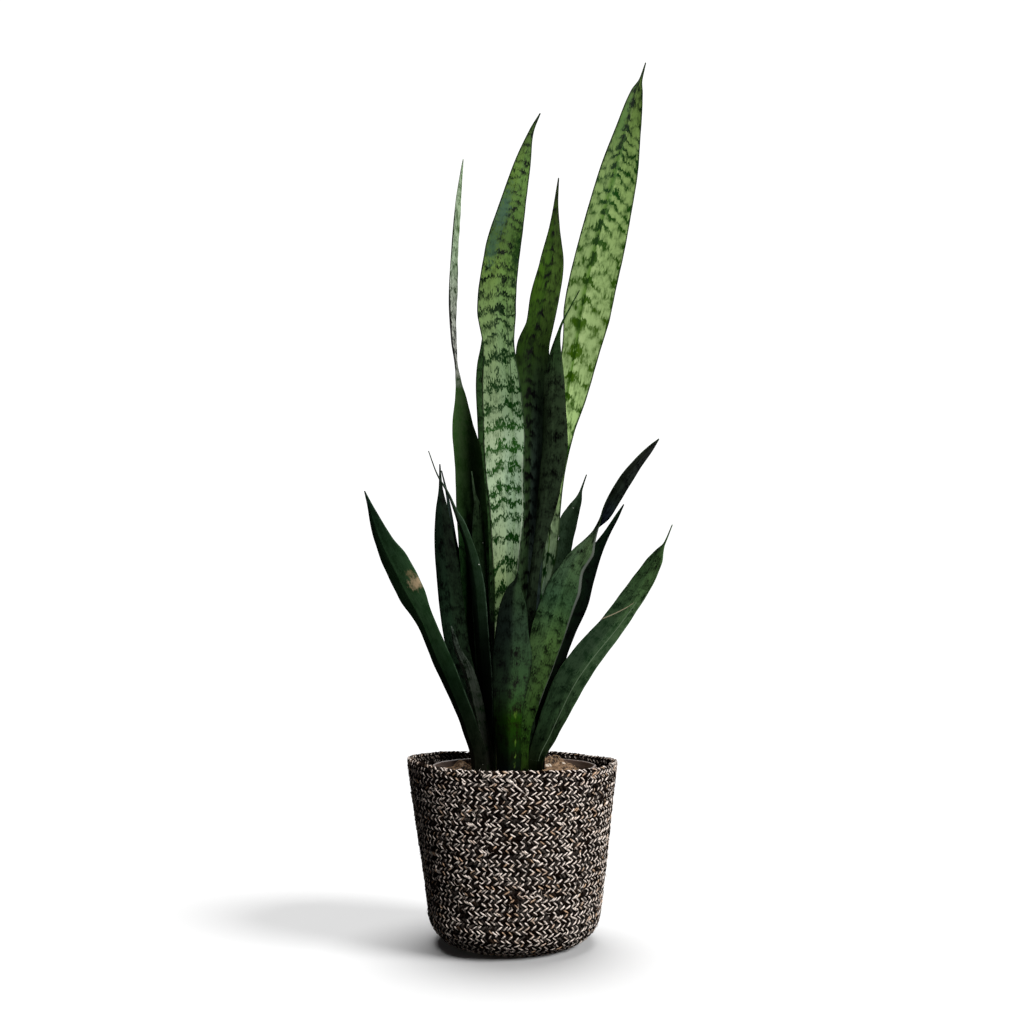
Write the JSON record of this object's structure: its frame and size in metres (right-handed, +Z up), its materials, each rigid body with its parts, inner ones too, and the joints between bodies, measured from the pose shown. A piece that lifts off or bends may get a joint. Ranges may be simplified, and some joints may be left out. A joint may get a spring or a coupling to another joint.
{
  "type": "potted snake plant",
  "caption": "Snake plant with upright banded and dark sword leaves, in a plastic nursery pot set in a tapered round basket of braided jute.",
  "frame": {"origin": "centre of the basket's flat base, on the floor", "axes": "+Z up along the basket's axis, -Y the front of the plant, +X its right as seen from the front"},
  "size_m": [0.3133, 0.2349, 0.9562],
  "materials": {
    "braided_jute": "matte",
    "pot_plastic": "satin",
    "soil": "matte",
    "leaf_pale": "satin",
    "leaf_banded": "satin",
    "leaf_olive": "satin",
    "leaf_fresh": "satin",
    "leaf_deep": "satin"
  },
  "bodies": {
    "root": {"basket": "braided_jute", "nursery_pot": "pot_plastic", "soil": "soil", "leaf_tall_right": "leaf_pale", "leaf_tall_centre": "leaf_banded", "leaf_tall_inner": "leaf_olive", "leaf_twisted": "leaf_fresh", "leaf_low_right": "leaf_fresh", "leaf_front": "leaf_fresh", "leaf_dark_inner": "leaf_deep", "leaf_tall_left": "leaf_deep", "leaf_back_left": "leaf_deep", "leaf_low_left": "leaf_deep", "leaf_left_inner": "leaf_deep", "leaf_left_upright": "leaf_deep", "leaf_left_behind": "leaf_deep", "leaf_short_right": "leaf_deep", "leaf_right_inner": "leaf_deep", "leaf_front_left": "leaf_deep", "leaf_mid_left": "leaf_deep", "leaf_back_centre": "leaf_deep", "leaf_back_right": "leaf_deep", "leaf_back_low": "leaf_deep"}
  },
  "joints": []
}
